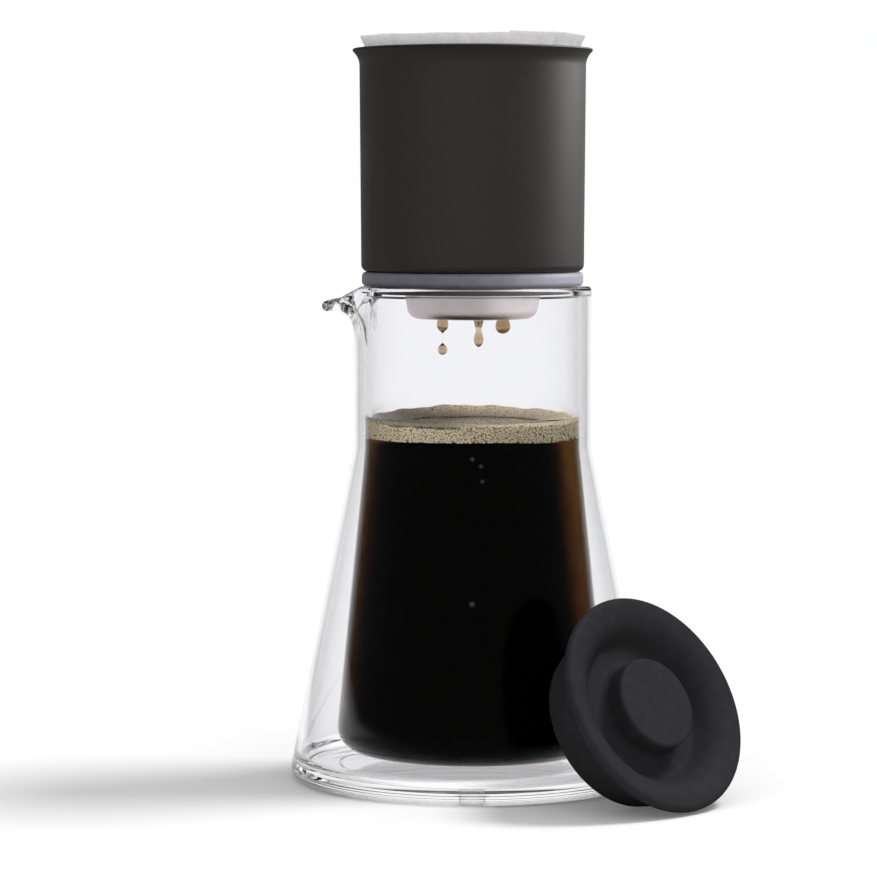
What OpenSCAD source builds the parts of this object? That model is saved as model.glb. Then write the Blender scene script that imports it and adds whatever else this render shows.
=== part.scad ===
// Pour-over coffee maker. A double-wall steel dripper with a pleated paper filter stands on a
// double-wall glass carafe with a pulled spout, and the carafe's silicone lid leans against it.
// Millimetres. The origin is the centre of the carafe's foot on the table, +Z up, spout to -X.

/* [Carafe] */
// Height of the carafe from the table to the top of its rim
carafe_h = 167.8; // [155:0.2:190]
// Outer radius of the straight neck
neck_r = 40.5; // [39:0.5:44]
// Outer radius that the sloping wall would have at the table
base_r = 62.8; // [58:0.2:70]
// Height at which the sloping wall turns into the straight neck
shoulder_z = 113; // [100:1:120]
// Thickness of both glass walls
glass_t = 2; // [1.6:0.1:2.6]
// Air gap between the walls in the neck
neck_gap = 2; // [1.6:0.1:4]
// Air gap between the walls at the table
base_gap = 14.8; // [10:0.2:18]
// Thickness of the outer wall's base
base_t = 5; // [3:0.5:7]
// Air gap between the base and the inner wall's floor
floor_gap = 4.5; // [3:0.5:10]
// Radius of the outer edge of the foot
base_corner = 4; // [3:0.5:8]
// Radius of the bottom edge of the inner wall
inner_corner = 8; // [3:0.5:12]
// Radius that blends the sloping wall into the neck
shoulder_blend = 20; // [8:1:40]
// Rise of the hollow under the base
punt = 0.8; // [0.4:0.1:1.6]
// Radius of the hollow under the base
punt_r = 45; // [30:1:48]
// Radius of the vent hole in the base
vent_r = 3; // [2:0.25:5]

/* [Rim and spout] */
// Thickness of the solid glass of the rim above the air gap
rim_t = 2.7; // [2:0.1:4]
// Radius of the fire-polished edges of the rim
rim_round = 1.5; // [0.8:0.1:2]
// How far below the rim the glass is reworked for the spout
rim_work = 24; // [20:1:30]
// Distance from the face of the neck to the tip of the spout
spout_reach = 10.7; // [7:0.1:14]
// How far the top of the tip lies below the rim
spout_drop = 4.8; // [3:0.2:7]
// How far below the rim the spout's underside leaves the neck
spout_root = 15; // [13:0.5:18]
// Radius of the rounded tip, half the thickness of the lip
spout_lip = 1.9; // [1.4:0.1:2.4]
// Half of the angle that the spout takes up at the rim
spout_half_angle = 24; // [18:1:34]

/* [Dripper] */
// Height of the steel jacket without the drip cup
dripper_h = 75.2; // [65:0.2:90]
// How far the jacket stands back from the face of the neck that it stands on
dripper_inset = 2.2; // [0.5:0.1:4]
// How much narrower the jacket is at the bottom
dripper_draft = 0.5; // [0:0.1:1.5]
// How far the rim stands out beyond the jacket
rim_overhang = 2.3; // [2:0.1:4]
// Height of the flare under the rim
flare_h = 5; // [3.5:0.5:8]
// Thickness of the steel sheet
sheet_t = 0.8; // [0.6:0.1:1]
// Radius of the bottom edge of the jacket
jacket_corner = 2.5; // [1.5:0.5:4]
// Least gap of the evacuated jacket, under the flare
jacket_gap = 1.2; // [0.8:0.1:3]
// Radius of the turned-out lip of the inner shell
lip_bend = 3; // [2:0.25:3.5]
// Outer radius of the drip cup at its bottom
cup_r = 21.6; // [19:0.2:24]
// How far the drip cup reaches into the carafe
cup_reach = 10.9; // [8:0.1:20]
// Radius of the bottom edge of the drip cup
cup_corner = 4; // [2.5:0.25:6]
// Diameter of a drain hole
drain_d = 3; // [2:0.25:4]
// Radius of the inner ring of drain holes
drain_ring_1 = 6.5; // [5:0.25:8]
// Radius of the outer ring of drain holes
drain_ring_2 = 12.5; // [11:0.25:14]
// Number of holes in the inner ring, the outer ring has twice as many
drain_count = 5; // [4:1:6]

/* [Vacuum jacket] */
// Width of the jacket's bottom edge that is turned in to the bottom plate
turn_in = 2; // [1:0.25:3]
// Radius of the getter pellet
getter_r = 2.5; // [2:0.25:3]
// Thickness of the getter pellet
getter_t = 1.5; // [1:0.25:3]
// Radius of the pump-out port in the bottom plate
port_r = 1.5; // [1:0.25:2]
// How far the solder bead spreads over the edge of the port
bead_spread = 1; // [0.5:0.25:2]

/* [Gasket] */
// Thickness of the gasket between the dripper and the rim
gasket_t = 4.8; // [3:0.2:7]
// How far the gasket's edge stands back from the face of the neck
gasket_inset = 2.9; // [1.5:0.1:4]
// Radius of the gasket's outer edges
gasket_round = 1.6; // [0.8:0.1:2.2]
// Depth of the gasket's rib in the neck
gasket_rib = 2.4; // [1.5:0.1:5]
// Thickness of the gasket's rib
gasket_rib_t = 3; // [2:0.25:4]

/* [Paper filter] */
// Number of pleats
pleats = 28; // [20:1:32]
// Depth of a pleat at the top edge
pleat_depth = 2; // [1:0.1:3]
// Height of the filter's edge above the dripper's rim
filter_proud = 4.5; // [2:0.5:12]
// How far the free edge above the rim leans out from the line of the wall
filter_flare = 1.2; // [0:0.1:1.6]
// Thickness of the paper
paper_t = 0.4; // [0.3:0.05:0.6]

/* [Lid] */
// Depth of the plug below the face of the flange
lid_plug_h = 22; // [14:0.5:26]
// How much narrower the plug is at its end
lid_plug_taper = 5.7; // [0:0.1:7]
// Width of the flange beyond the plug
lid_flange_w = 3.1; // [2:0.1:6]
// Thickness of the flange
lid_flange_t = 4; // [3:0.25:6]
// Radius of the grip in the middle of the lid
grip_r = 15.5; // [12:0.5:18]
// Radius of the dish around the grip
dish_r = 28; // [25:0.5:30]
// Depth of the dish
dish_h = 9; // [6:0.5:10]
// Thickness of the moulding over the hollow of the grip
lid_wall = 3; // [2:0.25:4]
// How far the leaning lid faces upward
lid_lean = 28; // [15:1:35]
// Direction in which the lid leans on the carafe, seen from above
lid_azimuth = -46; // [-80:1:80]

/* [Clearances] */
// Play between the gasket and the rim that it stands on
seat_gap = 0.15; // [0.1:0.05:0.3]
// Play of the gasket's rib and the lid's plug in the neck
neck_play = 0.5; // [0.3:0.1:1]
// Play of the filter in the dripper, and of the lid against the carafe
loose_gap = 0.3; // [0.2:0.05:0.5]
// Play of the plug in the vent hole and of the gasket on the drip cup
snug_gap = 0.05; // [0.02:0.01:0.1]

/* [Hidden] */
$fn = 96;

// Radii of the two walls in the neck, from outside to inside
outer_in_r = neck_r - glass_t;
inner_out_r = outer_in_r - neck_gap;
neck_in_r = inner_out_r - glass_t;
// Slopes of the walls, and how much longer the outer one is than it is high
outer_slope = (base_r - neck_r) / shoulder_z;
inner_slope = (base_r - base_gap - inner_out_r) / shoulder_z;
outer_lean = sqrt(1 + outer_slope ^ 2);
inner_floor_z = base_t + floor_gap;
// Height at which the reworked rim starts, and how far it is sunk into the inner wall
rim_z = carafe_h - rim_work;
rim_sink = 0.5;
// The reworked glass lies this far inside the faces of the blown wall under it
rim_step = 0.1;
foot_round = 1;

// Heights of the dripper
dripper_z = carafe_h + seat_gap + gasket_t;
dripper_top = dripper_z + dripper_h;
cup_z = carafe_h - cup_reach;
flare_z = dripper_top - sheet_t - flare_h;
// Outer radius of the jacket under the flare
dripper_r = neck_r - dripper_inset;
// The inner shell keeps the jacket's least gap where the flare begins
taper_top_r = dripper_r - 2 * sheet_t - jacket_gap;
taper = (taper_top_r - cup_r + sheet_t) / (flare_z - cup_z);
taper_lean = sqrt(1 + taper ^ 2);
taper_angle = atan(taper);
rim_r = dripper_r + rim_overhang;
// The bottom plate lies inside the turned-in edge of the jacket
plate_r = dripper_r - dripper_draft - jacket_corner - turn_in;
jacket_mid_r = (plate_r + shell_out(dripper_z + sheet_t)) / 2;

gasket_r = neck_r - gasket_inset;
neck_fit_r = neck_in_r - neck_play;

// Floor, rim and number of sides of the filter
filter_z = cup_z + sheet_t + loose_gap;
filter_top = dripper_top + filter_proud;
filter_sides = 4 * pleats;

lid_plug_r = neck_fit_r;
lid_end_r = lid_plug_r - lid_plug_taper;
lid_flange_r = lid_plug_r + lid_flange_w;
lid_edge = 1.8;
plug_edge = 1.5;
// Height of the lid's centre when a rounded edge of it at radius r and depth h stands on the table
function lid_stand(r, h, edge) = (r - edge) * cos(lid_lean) + (h - edge) * sin(lid_lean) + edge;
// The lid stands on the edge of its flange or on the end of its plug, whichever is lower
lid_z = max(lid_stand(lid_flange_r, lid_flange_t, lid_edge), lid_stand(lid_end_r, lid_plug_h, plug_edge));
// The upper edge of the plug's end meets the sloping wall of the carafe
plug_edge_z = lid_z + (lid_end_r - plug_edge) * cos(lid_lean) - (lid_plug_h - plug_edge) * sin(lid_lean);
lid_out = neck_r + outer_slope * (shoulder_z - plug_edge_z) + (plug_edge + loose_gap) * outer_lean
    + (lid_end_r - plug_edge) * sin(lid_lean) + (lid_plug_h - plug_edge) * cos(lid_lean);

// Radius of the inner shell's faces at a height
function shell_in(z) = cup_r - sheet_t + taper * (z - cup_z);
function shell_out(z) = shell_in(z) + sheet_t * taper_lean;

// Points along a circle about c from angle a0 to a1
function arc(c, r, a0, a1, n = 8) =
    [for (i = [0 : n]) let (a = a0 + (a1 - a0) * i / n) c + r * [cos(a), sin(a)]];

// Point of a cubic curve from a to d with the controls b and c
function curve(a, b, c, d, t) =
    a * (1 - t) ^ 3 + b * 3 * t * (1 - t) ^ 2 + c * 3 * t ^ 2 * (1 - t) + d * t ^ 3;

// Face of a carafe wall: bottom edge, sloping side, blend and neck up to the height top
function wall_path(r, slope, z, floor_z, corner, blend, top) =
    let (
        lean = sqrt(1 + slope ^ 2),
        angle = atan(slope),
        corner_z = floor_z + corner,
        corner_r = r + slope * (z - corner_z) - corner * lean,
        blend_z = z + blend * (lean - 1) / slope
    )
    concat(
        arc([corner_r, corner_z], corner, -90, angle),
        arc([r + blend, blend_z], blend, 180 + angle, 180),
        [[r, top]]
    );

// The same face moved in by the thickness of the glass
function wall_inside(r, slope, z, floor_z, corner, blend, top) =
    let (lean = sqrt(1 + slope ^ 2))
    wall_path(r - glass_t, slope, z - glass_t * (lean - 1) / slope, floor_z, corner, blend + glass_t, top);

function reversed(list) = [for (i = [len(list) - 1 : -1 : 0]) list[i]];

// Triangles between rings of points with the same number of sides, ring after ring
function band_faces(from, to, sides) = [
    for (j = [0 : sides - 1])
        let (k = (j + 1) % sides)
        each [
            [from * sides + j, to * sides + j, to * sides + k],
            [from * sides + j, to * sides + k, from * sides + k]
        ]
];

module carafe_outer_wall() {
    outside = wall_path(neck_r, outer_slope, shoulder_z, 0, base_corner, shoulder_blend, rim_z);
    inside = wall_inside(neck_r, outer_slope, shoulder_z, base_t, base_corner, shoulder_blend, rim_z);
    underside = [[vent_r, punt], [punt_r, punt], [punt_r + foot_round, 0]];
    color("lightcyan", 0.4)
        rotate_extrude()
            polygon(concat(underside, outside, reversed(inside), [[vent_r, base_t]]));
}

// How much of the spout the rim has at an angle from the spout's middle
spout_taper = 1.6;
function spout_share(a) =
    abs(a) >= spout_half_angle ? 0 : ((1 + cos(180 * a / spout_half_angle)) / 2) ^ spout_taper;

// Directions of the rim's sections: close together in the spout, wider apart elsewhere
spout_steps = 12;
rim_steps = 50;
rim_angles = concat(
    [for (i = [-spout_steps : spout_steps]) i * spout_half_angle / spout_steps],
    [for (i = [1 : rim_steps]) spout_half_angle + (360 - 2 * spout_half_angle) * i / (rim_steps + 1)]
);

// Number of points along the outer face, the edge, the inner face and the end of the air gap
leg_n = 9;
edge_n = 7;
throat_n = 9;
gap_n = 4;

// End of the air gap at a height, from the inner to the outer side
function gap_path(top) = arc([inner_out_r + neck_gap / 2, top - neck_gap / 2], neck_gap / 2, 180, 0, gap_n);

// Section of the plain rim: up the outer face, over the edge, down the inner face, round the air gap
rim_section = let (r_in = neck_in_r + rim_step, edge_z = carafe_h - rim_round) concat(
    [for (i = [0 : leg_n - 1]) [neck_r, rim_z + (edge_z - rim_z) * i / leg_n]],
    arc([neck_r - rim_round, edge_z], rim_round, 0, 90, (edge_n - 1) / 2),
    arc([r_in + rim_round, edge_z], rim_round, 90, 180, (edge_n - 1) / 2),
    [for (i = [1 : throat_n]) [r_in, edge_z + (rim_z - rim_sink - edge_z) * i / throat_n]],
    [[inner_out_r - rim_step, rim_z - rim_sink], [inner_out_r - rim_step, rim_z]],
    gap_path(carafe_h - rim_t),
    [[outer_in_r, rim_z]]
);

// Section through the middle of the spout, point for point. The lip droops: its underside rises
// from the neck in a hollow curve and falls a little to the tip, and the channel ends level above it.
under_angle = -105;
over_angle = 85;
lip_droop = 1.5;
spout_section = let (
        r_in = neck_in_r + rim_step,
        r_mid = neck_r + spout_reach / 4,
        tip = [neck_r + spout_reach - spout_lip, carafe_h - spout_drop - spout_lip],
        under = tip + spout_lip * [cos(under_angle), sin(under_angle)],
        over = tip + spout_lip * [cos(over_angle), sin(over_angle)],
        root = [neck_r, carafe_h - spout_root],
        throat = [r_in, rim_z + rim_round]
    ) concat(
    [[neck_r, rim_z]],
    [for (i = [0 : leg_n - 2]) curve(
        root, [neck_r, under[1] - 2 * lip_droop], [r_mid, under[1] + lip_droop], under, i / (leg_n - 1))],
    arc(tip, spout_lip, under_angle, over_angle, edge_n),
    [for (i = [1 : throat_n - 1]) curve(
        over, [r_mid, over[1] + lip_droop / 4], [r_in, over[1] - lip_droop], throat, i / (throat_n - 1))],
    [[r_in, rim_z - rim_sink]],
    [[inner_out_r - rim_step, rim_z - rim_sink], [inner_out_r - rim_step, rim_z]],
    gap_path(carafe_h - spout_root),
    [[outer_in_r, rim_z]]
);

// Rim and spout: the plain section is blended into the spout's section around the neck
module rim_and_spout() {
    sides = len(rim_section);
    rings = len(rim_angles);
    points = [
        for (a = rim_angles)
            let (share = spout_share(a))
            for (i = [0 : sides - 1])
                let (p = rim_section[i] * (1 - share) + spout_section[i] * share)
                [p[0] * cos(180 + a), p[0] * sin(180 + a), p[1]]
    ];
    polyhedron(points, [for (i = [0 : rings - 1]) each band_faces((i + 1) % rings, i, sides)]);
}

module carafe_inner_wall() {
    floor_top = inner_floor_z + glass_t;
    outside = wall_path(
        inner_out_r, inner_slope, shoulder_z, inner_floor_z, inner_corner, shoulder_blend, rim_z);
    inside = wall_inside(
        inner_out_r, inner_slope, shoulder_z, floor_top, inner_corner - glass_t, shoulder_blend, rim_z);
    color("lightcyan", 0.4) {
        rotate_extrude()
            polygon(concat([[0, inner_floor_z]], outside, reversed(inside), [[0, floor_top]]));
        rim_and_spout();
    }
}

// Plug with a head that lies on the base inside the air gap
module carafe_vent_seal() {
    head_t = 1.2;
    head_w = 1.2;
    color("gainsboro") {
        translate([0, 0, punt + foot_round / 4])
            cylinder(h = base_t - punt - foot_round / 4, r = vent_r - snug_gap);
        translate([0, 0, base_t])
            cylinder(h = head_t, r1 = vent_r + head_w, r2 = vent_r + head_w / 2);
    }
}

module dripper_outer_shell() {
    bottom_r = dripper_r - dripper_draft;
    // The flare is an arc that starts upright and ends under the lip
    flare_angle = 2 * atan(rim_overhang / flare_h);
    flare_r = flare_h / sin(flare_angle);
    flare_c = [dripper_r + flare_r, flare_z];
    inside_angle = asin(flare_h / (flare_r + sheet_t));
    corner_c = [bottom_r - jacket_corner, dripper_z + jacket_corner];
    color("#3a3635")
        rotate_extrude()
            polygon(concat(
                [[plate_r, dripper_z]],
                arc(corner_c, jacket_corner, -90, 0),
                arc(flare_c, flare_r, 180, 180 - flare_angle),
                arc(flare_c, flare_r + sheet_t, 180 - inside_angle, 180),
                arc(corner_c, jacket_corner - sheet_t, 0, -90),
                [[plate_r, dripper_z + sheet_t]]
            ));
}

module drain_holes() {
    for (ring = [[drain_ring_1, drain_count], [drain_ring_2, 2 * drain_count]])
        for (i = [0 : ring[1] - 1])
            rotate([0, 0, 360 * i / ring[1]])
                translate([ring[0], 0, cup_z - sheet_t])
                    cylinder(h = 3 * sheet_t, d = drain_d);
    translate([0, 0, cup_z - sheet_t])
        cylinder(h = 3 * sheet_t, d = drain_d);
}

module dripper_inner_shell() {
    corner_z = cup_z + cup_corner;
    corner_c = [shell_out(corner_z) - cup_corner * taper_lean, corner_z];
    bend_z = dripper_top - sheet_t - lip_bend;
    bend_c = [shell_out(bend_z) + lip_bend * taper_lean, bend_z];
    color("silver")
        difference() {
            rotate_extrude()
                polygon(concat(
                    [[0, cup_z]],
                    arc(corner_c, cup_corner, -90, -taper_angle),
                    arc(bend_c, lip_bend, 180 - taper_angle, 90),
                    arc([rim_r - sheet_t / 2, dripper_top - sheet_t / 2], sheet_t / 2, -90, 90),
                    arc(bend_c, lip_bend + sheet_t, 90, 180 - taper_angle),
                    arc(corner_c, cup_corner - sheet_t, -taper_angle, -90),
                    [[0, cup_z + sheet_t]]
                ));
            drain_holes();
        }
}

module dripper_bottom_plate() {
    color("silver")
        difference() {
            rotate_extrude()
                polygon([
                    [shell_out(dripper_z), dripper_z],
                    [plate_r, dripper_z],
                    [plate_r, dripper_z + sheet_t],
                    [shell_out(dripper_z + sheet_t), dripper_z + sheet_t]
                ]);
            translate([-jacket_mid_r, 0, dripper_z - sheet_t])
                cylinder(h = 3 * sheet_t, r = port_r);
        }
}

module vacuum_getter() {
    color("dimgray")
        translate([jacket_mid_r, 0, dripper_z + sheet_t])
            cylinder(h = getter_t, r = getter_r);
}

// The bead fills the port and stands over its edge inside the jacket
module vacuum_seal_bead() {
    color("darkgoldenrod")
        translate([-jacket_mid_r, 0, dripper_z]) {
            cylinder(h = sheet_t, r = port_r - snug_gap);
            translate([0, 0, sheet_t])
                cylinder(h = bead_spread, r1 = port_r + bead_spread, r2 = port_r);
        }
}

module gasket_ring() {
    seat_z = carafe_h + seat_gap;
    rib_z = carafe_h - gasket_rib;
    rib_round = gasket_rib_t / 4;
    bore_low = shell_out(seat_z) + snug_gap;
    bore_high = shell_out(dripper_z) + snug_gap;
    color("#5c5a60")
        rotate_extrude()
            polygon(concat(
                [[bore_low, seat_z], [neck_fit_r - gasket_rib_t, seat_z]],
                arc([neck_fit_r - gasket_rib_t + rib_round, rib_z + rib_round], rib_round, 180, 270),
                arc([neck_fit_r - rib_round, rib_z + rib_round], rib_round, 270, 360),
                [[neck_fit_r, seat_z]],
                arc([gasket_r - gasket_round, seat_z + gasket_round], gasket_round, -90, 0),
                arc([gasket_r - gasket_round, dripper_z - gasket_round], gasket_round, 0, 90),
                [[bore_high, dripper_z]]
            ));
}

// Fold of the paper around a pleat: broad flat crests with narrow valleys between them
crest_share = 0.55;
valley_share = 0.15;
valley_middle = (1 + crest_share) / 2;
fold_places = [0, crest_share, valley_middle - valley_share / 2, valley_middle + valley_share / 2];
function pleat_phase(j) = floor(j / 4) + fold_places[j % 4];
function pleat_fold(j) = j % 4 < 2 ? 0 : 1;

// Height, radius of the crests and share of the pleat depth, from the floor's edge to the top edge
filter_corner = cup_corner - sheet_t;
filter_edge = filter_corner * 0.3;
filter_mid = (filter_z + dripper_top) / 2;
filter_rows = [
    [filter_z, shell_in(filter_z) - loose_gap - filter_corner, 0],
    [filter_z + filter_edge, shell_in(filter_z) - loose_gap - filter_edge, 0.1],
    [filter_z + filter_corner, shell_in(filter_z + filter_corner) - loose_gap * taper_lean, 0.25],
    [filter_mid, shell_in(filter_mid) - loose_gap * taper_lean, 0.6],
    [dripper_top, shell_in(dripper_top) - loose_gap * taper_lean, 0.9],
    [filter_top, shell_in(filter_top) - loose_gap * taper_lean + filter_flare, 1]
];

module paper_filter() {
    rows = len(filter_rows);
    row_points = function (row, thick) [
        for (j = [0 : filter_sides - 1])
            let (
                a = 360 * pleat_phase(j) / pleats,
                r = row[1] - thick - pleat_depth * row[2] * pleat_fold(j),
                is_top = row[0] == filter_top
            )
            [r * cos(a), r * sin(a), row[0] + (is_top ? 0 : thick)]
    ];
    points = concat(
        [for (i = [0 : rows - 1]) each row_points(filter_rows[i], 0)],
        [for (i = [rows - 1 : -1 : 0]) each row_points(filter_rows[i], paper_t)],
        [[0, 0, filter_z], [0, 0, filter_z + paper_t]]
    );
    under = 2 * rows * filter_sides;
    last = (2 * rows - 1) * filter_sides;
    color("whitesmoke")
        polyhedron(points, concat(
            [for (i = [0 : 2 * rows - 2]) each band_faces(i, i + 1, filter_sides)],
            [for (j = [0 : filter_sides - 1]) [under, j, (j + 1) % filter_sides]],
            [for (j = [0 : filter_sides - 1]) [under + 1, last + (j + 1) % filter_sides, last + j]]
        ));
}

// One moulding: tapered plug, flange, a dish that sinks in a smooth sweep, and the grip in its middle
module lid() {
    grip_edge = 1.2;
    dish_round = 3;
    hollow_r = grip_r - lid_wall;
    rim_in_r = lid_flange_r - lid_edge;
    plug_angle = atan(lid_plug_taper / (lid_plug_h - lid_flange_t));
    sweep = [for (i = [0 : 10]) curve(
        [grip_r + 2 * dish_round, -dish_h], [dish_r - dish_round, -dish_h],
        [dish_r - dish_round, -lid_edge / 2], [rim_in_r, 0], i / 10)];
    color("#343335")
        translate([lid_out * cos(lid_azimuth), lid_out * sin(lid_azimuth), lid_z])
            rotate([0, 90 - lid_lean, lid_azimuth])
                rotate_extrude()
                    polygon(concat(
                        [[0, 0]],
                        arc([grip_r - grip_edge, -grip_edge], grip_edge, 90, 0),
                        arc([grip_r + dish_round, -dish_h + dish_round], dish_round, 180, 270),
                        sweep,
                        arc([rim_in_r, -lid_edge], lid_edge, 90, 0),
                        arc([rim_in_r, -lid_flange_t + lid_edge], lid_edge, 0, -90),
                        [[lid_plug_r, -lid_flange_t]],
                        arc([lid_end_r - plug_edge, -lid_plug_h + plug_edge], plug_edge, -plug_angle, -90),
                        [[hollow_r, -lid_plug_h], [hollow_r, -lid_wall], [0, -lid_wall]]
                    ));
}

carafe_outer_wall();
carafe_inner_wall();
carafe_vent_seal();
dripper_outer_shell();
dripper_inner_shell();
dripper_bottom_plate();
vacuum_getter();
vacuum_seal_bead();
gasket_ring();
paper_filter();
lid();
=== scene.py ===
import math

import bmesh
import bpy
import numpy as np
from mathutils import Matrix, Vector
from mathutils.kdtree import KDTree


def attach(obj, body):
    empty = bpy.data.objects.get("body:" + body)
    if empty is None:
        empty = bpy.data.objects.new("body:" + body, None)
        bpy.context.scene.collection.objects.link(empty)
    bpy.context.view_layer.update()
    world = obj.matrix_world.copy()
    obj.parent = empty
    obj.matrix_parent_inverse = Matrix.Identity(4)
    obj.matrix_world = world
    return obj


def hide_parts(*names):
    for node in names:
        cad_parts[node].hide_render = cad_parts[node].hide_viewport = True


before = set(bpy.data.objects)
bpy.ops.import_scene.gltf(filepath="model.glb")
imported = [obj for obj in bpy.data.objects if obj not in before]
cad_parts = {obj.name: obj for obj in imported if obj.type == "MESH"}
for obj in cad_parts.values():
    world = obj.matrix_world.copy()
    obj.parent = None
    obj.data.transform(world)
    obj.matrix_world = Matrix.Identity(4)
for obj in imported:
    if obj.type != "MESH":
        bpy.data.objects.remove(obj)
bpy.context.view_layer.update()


# Carafe
# Two borosilicate blanks, blown in moulds, stand one inside the other and are fused at the rim, where the
# soft glass is pulled into a drooping spout. Air stays between them. The base is thick and a little hollow.
carafe_h = 167.8
neck_r = 40.5
base_r = 62.8
shoulder_z = 113.0
glass_t = 2.0
neck_gap = 2.0
base_gap = 14.8
base_t = 5.0
inner_floor_z = 9.5
base_corner = 4.0
inner_corner = 8.0
shoulder_blend = 20.0
punt = 0.8
punt_r = 45.0
vent_r = 3.0
rim_z = 143.8
rim_t = 2.7
rim_round = 1.5
spout_reach = 10.7
spout_drop = 4.8
spout_root = 15.0
spout_lip = 1.9
spout_half_angle = 24
spout_taper = 1.6
lip_droop = 1.5
outer_in_r = neck_r - glass_t
inner_out_r = outer_in_r - neck_gap
neck_in_r = inner_out_r - glass_t
outer_slope = (base_r - neck_r) / shoulder_z
inner_slope = (base_r - base_gap - inner_out_r) / shoulder_z


def arc(centre, radius, start, end, steps):
    """Points along a circle, angles in degrees."""
    turn = np.radians(np.linspace(start, end, steps + 1))
    return np.c_[centre[0] + radius * np.cos(turn), centre[1] + radius * np.sin(turn)]


def sweep(a, b, c, d, steps):
    """Points along a cubic curve from a to d, with b and c as its controls."""
    a, b, c, d = (np.array(p, float) for p in (a, b, c, d))
    t = np.linspace(0, 1, steps + 1)[:, None]
    return a * (1 - t) ** 3 + b * 3 * t * (1 - t) ** 2 + c * 3 * t**2 * (1 - t) + d * t**3


def finer(path, longest):
    """The same path with no piece longer than the given length."""
    path = np.array(path, float)
    points = [path[:1]]
    for a, b in zip(path, path[1:]):
        pieces = max(1, math.ceil(np.linalg.norm(b - a) / longest))
        points.append(np.linspace(a, b, pieces + 1)[1:])
    return np.vstack(points)


def wall_face(r, slope, z, floor_z, corner, blend):
    """Face of a blown wall from the edge of its floor up to the straight neck."""
    lean = math.hypot(1, slope)
    angle = math.degrees(math.atan(slope))
    corner_z = floor_z + corner
    corner_r = r + slope * (z - corner_z) - corner * lean
    blend_z = z + blend * (lean - 1) / slope
    edge = arc((corner_r, corner_z), corner, -90, angle, 14)
    shoulder = arc((r + blend, blend_z), blend, 180 + angle, 180, 14)
    return finer(np.vstack([edge, shoulder, [(r, rim_z)]]), 5)


def wall_behind(r, slope, floor_z, corner, blend):
    """The face on the other side of that wall's glass."""
    lean = math.hypot(1, slope)
    turn_z = shoulder_z - glass_t * (lean - 1) / slope
    return wall_face(r - glass_t, slope, turn_z, floor_z, corner, blend + glass_t)


def skin(name, rings):
    """Mesh object over rings of points in millimetres, smooth but for its sharp edges."""
    rows, sides, _ = rings.shape
    at = np.arange(rows * sides).reshape(rows, sides)
    ahead = np.roll(at, -1, 1)
    quads = np.stack([at[:-1], ahead[:-1], ahead[1:], at[1:]], -1).reshape(-1, 4)
    mesh = bpy.data.meshes.new(name)
    mesh.from_pydata((rings.reshape(-1, 3) / 1000).tolist(), [], quads.tolist())
    soften(mesh)
    piece = bpy.data.objects.new(name, mesh)
    bpy.context.scene.collection.objects.link(piece)
    return piece


def soften(mesh, sharp=35):
    """Welds doubled points, turns the faces outward and keeps edges over the given angle sharp."""
    bm = bmesh.new()
    bm.from_mesh(mesh)
    bmesh.ops.remove_doubles(bm, verts=bm.verts, dist=2e-6)
    if bm.calc_volume(signed=True) < 0:
        bmesh.ops.reverse_faces(bm, faces=bm.faces)
    for face in bm.faces:
        face.smooth = True
    for edge in bm.edges:
        edge.smooth = edge.calc_face_angle(0) < math.radians(sharp)
    bm.to_mesh(mesh)
    bm.free()


floor_top = inner_floor_z + glass_t
inner_face = wall_behind(inner_out_r, inner_slope, floor_top, inner_corner - glass_t, shoulder_blend)
inner_back = wall_face(inner_out_r, inner_slope, shoulder_z, inner_floor_z, inner_corner, shoulder_blend)
outer_face = wall_face(neck_r, outer_slope, shoulder_z, 0, base_corner, shoulder_blend)
outer_back = wall_behind(neck_r, outer_slope, base_t, base_corner, shoulder_blend)

# The plain rim: up the throat, over the fire-polished edge and down outside
edge_z = carafe_h - rim_round
throat_n = 24
edge_n = 8
leg_n = 24
plain_rim = np.vstack([
    np.linspace((neck_in_r, rim_z), (neck_in_r, edge_z), throat_n + 1)[1:],
    arc((neck_in_r + rim_round, edge_z), rim_round, 180, 90, edge_n)[1:],
    arc((neck_r - rim_round, edge_z), rim_round, 90, 0, edge_n),
    np.linspace((neck_r, edge_z), (neck_r, rim_z), leg_n + 1)[1:],
])
# The middle of the spout, point for point: the channel runs out level and the lip droops under it
lip_r = neck_r + spout_reach / 4
tip = np.array((neck_r + spout_reach - spout_lip, carafe_h - spout_drop - spout_lip))
lip_arc = arc(tip, spout_lip, 85, -105, 2 * edge_n + 1)
over = lip_arc[0]
under = lip_arc[-1]
channel = sweep(
    (neck_in_r, carafe_h - spout_root), (neck_in_r, over[1] - lip_droop / 2),
    (lip_r, over[1] + lip_droop / 4), over, throat_n - 1)
underside = sweep(
    under, (lip_r, under[1] + lip_droop),
    (neck_r, under[1] - 2 * lip_droop), (neck_r, carafe_h - spout_root), leg_n - 1)
spout_rim = np.vstack([channel, lip_arc[1:], underside[1:], [(neck_r, rim_z)]])


# The air gap runs straight up between the walls, bends a little below its end and closes there
gap_n = 12
gap_straight = 5.0
gap_bend = 3.0


def gap_end(out, up, half, lean, bow):
    """The air gap above the walls: up behind the outer one, over its closed end and down the inner one.

    The end is nearly square for a small bow and round for a bow of 1.
    """
    lean = math.radians(lean)
    across = np.array((math.cos(lean), math.sin(lean)))
    ahead = np.array((-math.sin(lean), math.cos(lean)))
    end = arc((0, 0), 1, 0, 180, gap_n)
    end = half * np.sign(end) * np.abs(end) ** bow
    end = (out, up) + end @ (across, ahead)
    past_end = end[-1] - 1.4 * half * ahead
    rising = sweep(
        outer_back[-1], (outer_in_r, up - gap_straight), (outer_in_r, up - gap_bend), end[0], gap_n)
    falling = sweep(end[-1], past_end, (inner_out_r, up - gap_bend), inner_back[-1], gap_n)
    return np.vstack([rising[1:], end[1:], falling[1:-1]])


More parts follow.
